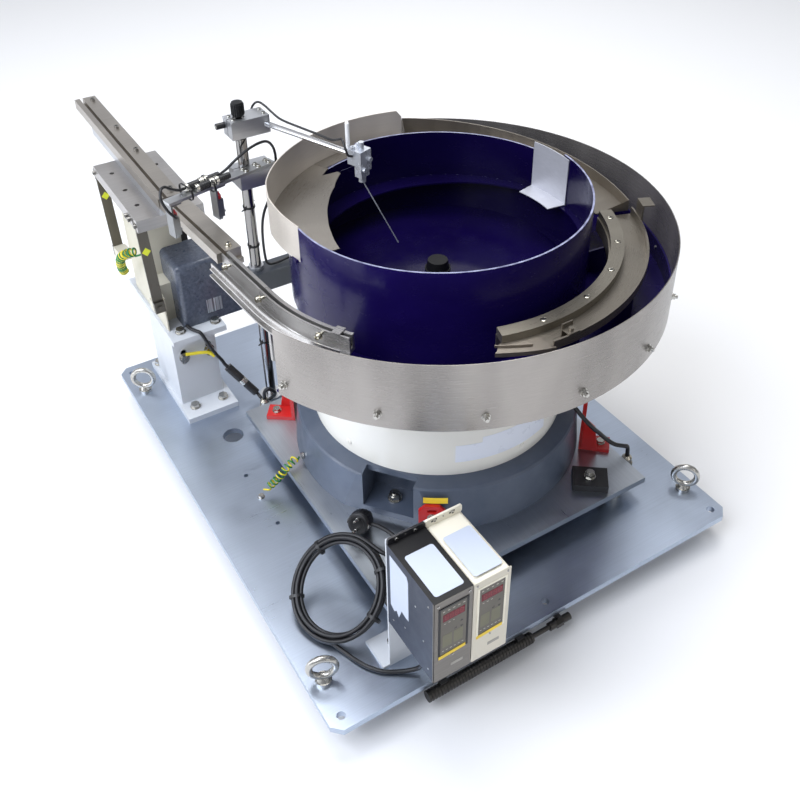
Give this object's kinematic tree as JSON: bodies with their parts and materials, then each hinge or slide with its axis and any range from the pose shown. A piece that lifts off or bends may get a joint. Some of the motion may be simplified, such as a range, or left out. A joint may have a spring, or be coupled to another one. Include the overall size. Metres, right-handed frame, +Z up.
{
  "type": "vibratory bowl feeder",
  "caption": "Vibratory bowl feeder on a steel base plate: coated bowl with return pan, outlet tracks, linear feeder rail, sensor post and controllers.",
  "frame": {"origin": "middle of the footprint, on the floor under the levelling feet", "axes": "+Z up, +Y towards the free end of the linear rail, -Y towards the controllers"},
  "size_m": [0.8569, 1.3724, 0.726],
  "materials": {
    "base_plate": "ground, plated",
    "levelling_feet": "rubber pads on zinc studs",
    "eye_bolts": "zinc plated",
    "plate_spacers": "turned",
    "drive_plate": "ground",
    "drive_base": "grey enamel on cast iron",
    "base_fasteners": "zinc plated",
    "drive_cover": "cream powder coat",
    "electromagnet": "laminated core, potted coil",
    "drive_springs": "glass-fibre leaf packs",
    "armature": "laminated",
    "drive_top_disc": "cast, machined",
    "transport_brackets": "red enamel",
    "toe_clamp": "blackened",
    "bowl": "royal blue coating, gloss",
    "bowl_track": "royal blue coating, gloss",
    "centre_knob": "black",
    "skirt_band": "stainless, brushed",
    "skirt_screws": "zinc plated",
    "spiral_wall": "stainless, brushed",
    "spiral_track": "stainless",
    "ring_track": "stainless",
    "outlet_track": "stainless",
    "track_strip": "stainless, milled",
    "track_fasteners": "zinc plated",
    "deflector_plate": "stainless",
    "outlet_rail": "stainless, milled",
    "guide_rail": "stainless, milled",
    "linear_rail": "stainless, milled",
    "rail_support_bar": "milled",
    "linear_top_screws": "zinc plated",
    "linear_top_block": "milled",
    "linear_springs": "spring steel",
    "linear_base": "cream enamel",
    "linear_cover": "hammered dark slate",
    "linear_stand": "white-grey powder coat",
    "post_beam": "dark grey enamel",
    "sensor_post": "hard chrome",
    "post_knob": "black",
    "post_clamps": "anodised",
    "arm_rod": "polished",
    "level_sensor": "nickel plated",
    "sensor_tag": "white sleeve",
    "sensor_arm": "milled",
    "rail_sensors": "grey housings on plated brackets",
    "cable_connectors": "black with plated rings",
    "cable_glands": "nickel plated",
    "controller_bracket": "white powder coat",
    "controller_black": "black shell, grey front",
    "controller_cream": "cream enamel",
    "mains_coil": "black sheath",
    "mains_lead": "black sheath",
    "mains_plug": "black moulding",
    "linear_cable": "black sheath",
    "drive_cable": "black sheath",
    "sensor_cable": "black sheath",
    "level_cable": "black sheath",
    "earth_wire_base": "green and yellow",
    "earth_wire_linear": "green and yellow",
    "edge_conduit": "ribbed steel conduit"
  },
  "bodies": {
    "base": {"base_plate": "base_plate", "levelling_feet": "levelling_feet", "eye_bolts": "eye_bolts", "plate_spacers": "plate_spacers", "drive_plate": "drive_plate", "drive_base": "drive_base", "base_fasteners": "base_fasteners", "drive_cover": "drive_cover", "electromagnet": "electromagnet", "drive_springs": "drive_springs", "transport_brackets": "transport_brackets", "toe_clamp": "toe_clamp", "linear_springs": "linear_springs", "linear_base": "linear_base", "linear_cover": "linear_cover", "linear_stand": "linear_stand", "post_beam": "post_beam", "sensor_post": "sensor_post", "post_knob": "post_knob", "post_clamps": "post_clamps", "arm_rod": "arm_rod", "level_sensor": "level_sensor", "sensor_tag": "sensor_tag", "sensor_arm": "sensor_arm", "rail_sensors": "rail_sensors", "cable_connectors": "cable_connectors", "cable_glands": "cable_glands", "controller_bracket": "controller_bracket", "controller_black": "controller_black", "controller_cream": "controller_cream", "mains_coil": "mains_coil", "mains_lead": "mains_lead", "mains_plug": "mains_plug", "linear_cable": "linear_cable", "drive_cable": "drive_cable", "sensor_cable": "sensor_cable", "level_cable": "level_cable", "earth_wire_base": "earth_wire_base", "earth_wire_linear": "earth_wire_linear", "edge_conduit": "edge_conduit"},
    "bowl_body": {"armature": "armature", "drive_top_disc": "drive_top_disc", "bowl": "bowl", "bowl_track": "bowl_track", "centre_knob": "centre_knob", "skirt_band": "skirt_band", "skirt_screws": "skirt_screws", "spiral_wall": "spiral_wall", "spiral_track": "spiral_track", "ring_track": "ring_track", "outlet_track": "outlet_track", "track_strip": "track_strip", "track_fasteners": "track_fasteners", "deflector_plate": "deflector_plate", "outlet_rail": "outlet_rail", "guide_rail": "guide_rail"},
    "linear_body": {"linear_rail": "linear_rail", "rail_support_bar": "rail_support_bar", "linear_top_screws": "linear_top_screws", "linear_top_block": "linear_top_block"}
  },
  "joints": [
    {"name": "bowl_vibration", "type": "hinge", "parent": "base", "child": "bowl_body", "pos_m": [0.0295, -0.18525, 0.062], "axis": [0, 0, 1], "range_deg": [-0.2, 0.2], "stiffness_Nm_per_rad": 300000},
    {"name": "linear_vibration", "type": "slide", "parent": "base", "child": "linear_body", "axis": [0, 1, 0], "range_m": [-0.0006, 0.0006], "stiffness_N_per_m": 400000}
  ]
}
